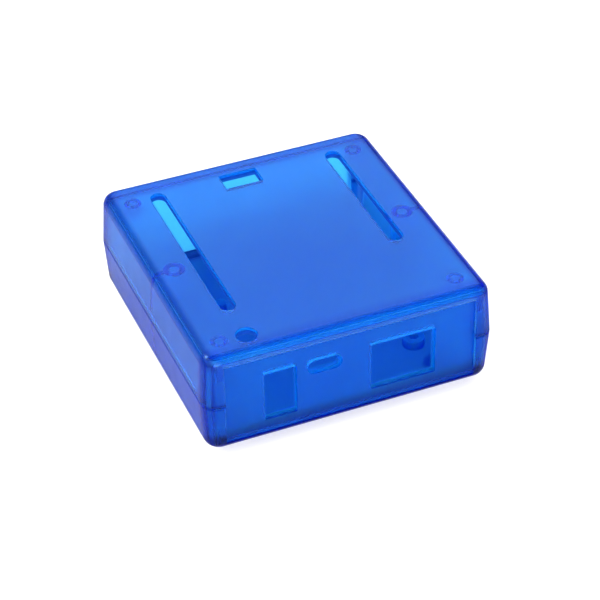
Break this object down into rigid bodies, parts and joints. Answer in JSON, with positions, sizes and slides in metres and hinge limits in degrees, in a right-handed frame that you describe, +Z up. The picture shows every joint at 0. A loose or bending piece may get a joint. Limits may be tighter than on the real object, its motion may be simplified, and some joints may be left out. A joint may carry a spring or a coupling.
{
  "type": "single board computer enclosure",
  "caption": "Small rectangular translucent plastic case for a single board computer: a base, a screwed-on cover with header slots, and separate end panels with connector openings.",
  "frame": {"origin": "middle of the footprint, on the surface that the feet stand on", "axes": "+Z up, -Y towards the front panel with the connector openings, +X to the right as seen from the front"},
  "size_m": [0.0752, 0.0784, 0.0298],
  "materials": {
    "shell_plastic": "translucent, fine satin",
    "panel_plastic": "translucent, smooth",
    "screw_steel": "zinc plated",
    "foot_rubber": "clear, soft"
  },
  "bodies": {
    "base": {"base_shell": "shell_plastic", "front_panel": "panel_plastic", "rear_panel": "panel_plastic", "foot_front_left": "foot_rubber", "foot_front_right": "foot_rubber", "foot_rear_left": "foot_rubber", "foot_rear_right": "foot_rubber"},
    "cover": {"top_cover": "shell_plastic"},
    "left_screw": {"cover_screw_left": "screw_steel"},
    "right_screw": {"cover_screw_right": "screw_steel"}
  },
  "joints": [
    {"name": "cover_lift", "type": "slide", "parent": "base", "child": "cover", "axis": [0, 0, 1], "range_m": [0, 0.04]},
    {"name": "left_screw_draw", "type": "slide", "parent": "base", "child": "left_screw", "axis": [0, 0, -1], "range_m": [0, 0.024]},
    {"name": "right_screw_draw", "type": "slide", "parent": "base", "child": "right_screw", "axis": [0, 0, -1], "range_m": [0, 0.024]}
  ]
}
